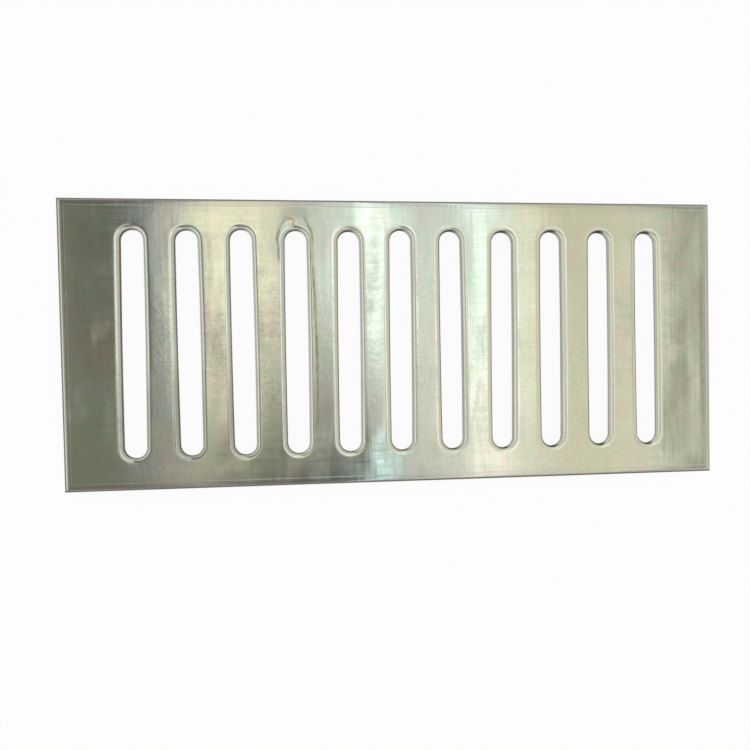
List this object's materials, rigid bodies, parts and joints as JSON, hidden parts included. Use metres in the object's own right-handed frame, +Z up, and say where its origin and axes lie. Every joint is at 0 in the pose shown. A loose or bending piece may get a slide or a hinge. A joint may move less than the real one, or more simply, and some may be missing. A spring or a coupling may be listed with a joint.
{
  "type": "stainless steel trench drain grating",
  "caption": "Flat pressed steel drain grating with parallel round-ended slots, a rolled lip around each slot and a folded skirt on all sides.",
  "frame": {"origin": "middle of the rectangle that the skirt's rim stands on", "axes": "+X along the grating's length, +Y across it along the slots, +Z up out of the flat top"},
  "size_m": [0.6, 0.257, 0.02],
  "materials": {
    "stainless_steel": "mill-finished stainless sheet, dull and hazy, with smudges and streaks from handling"
  },
  "bodies": {
    "root": {"grating_plate": "stainless_steel"}
  },
  "joints": []
}
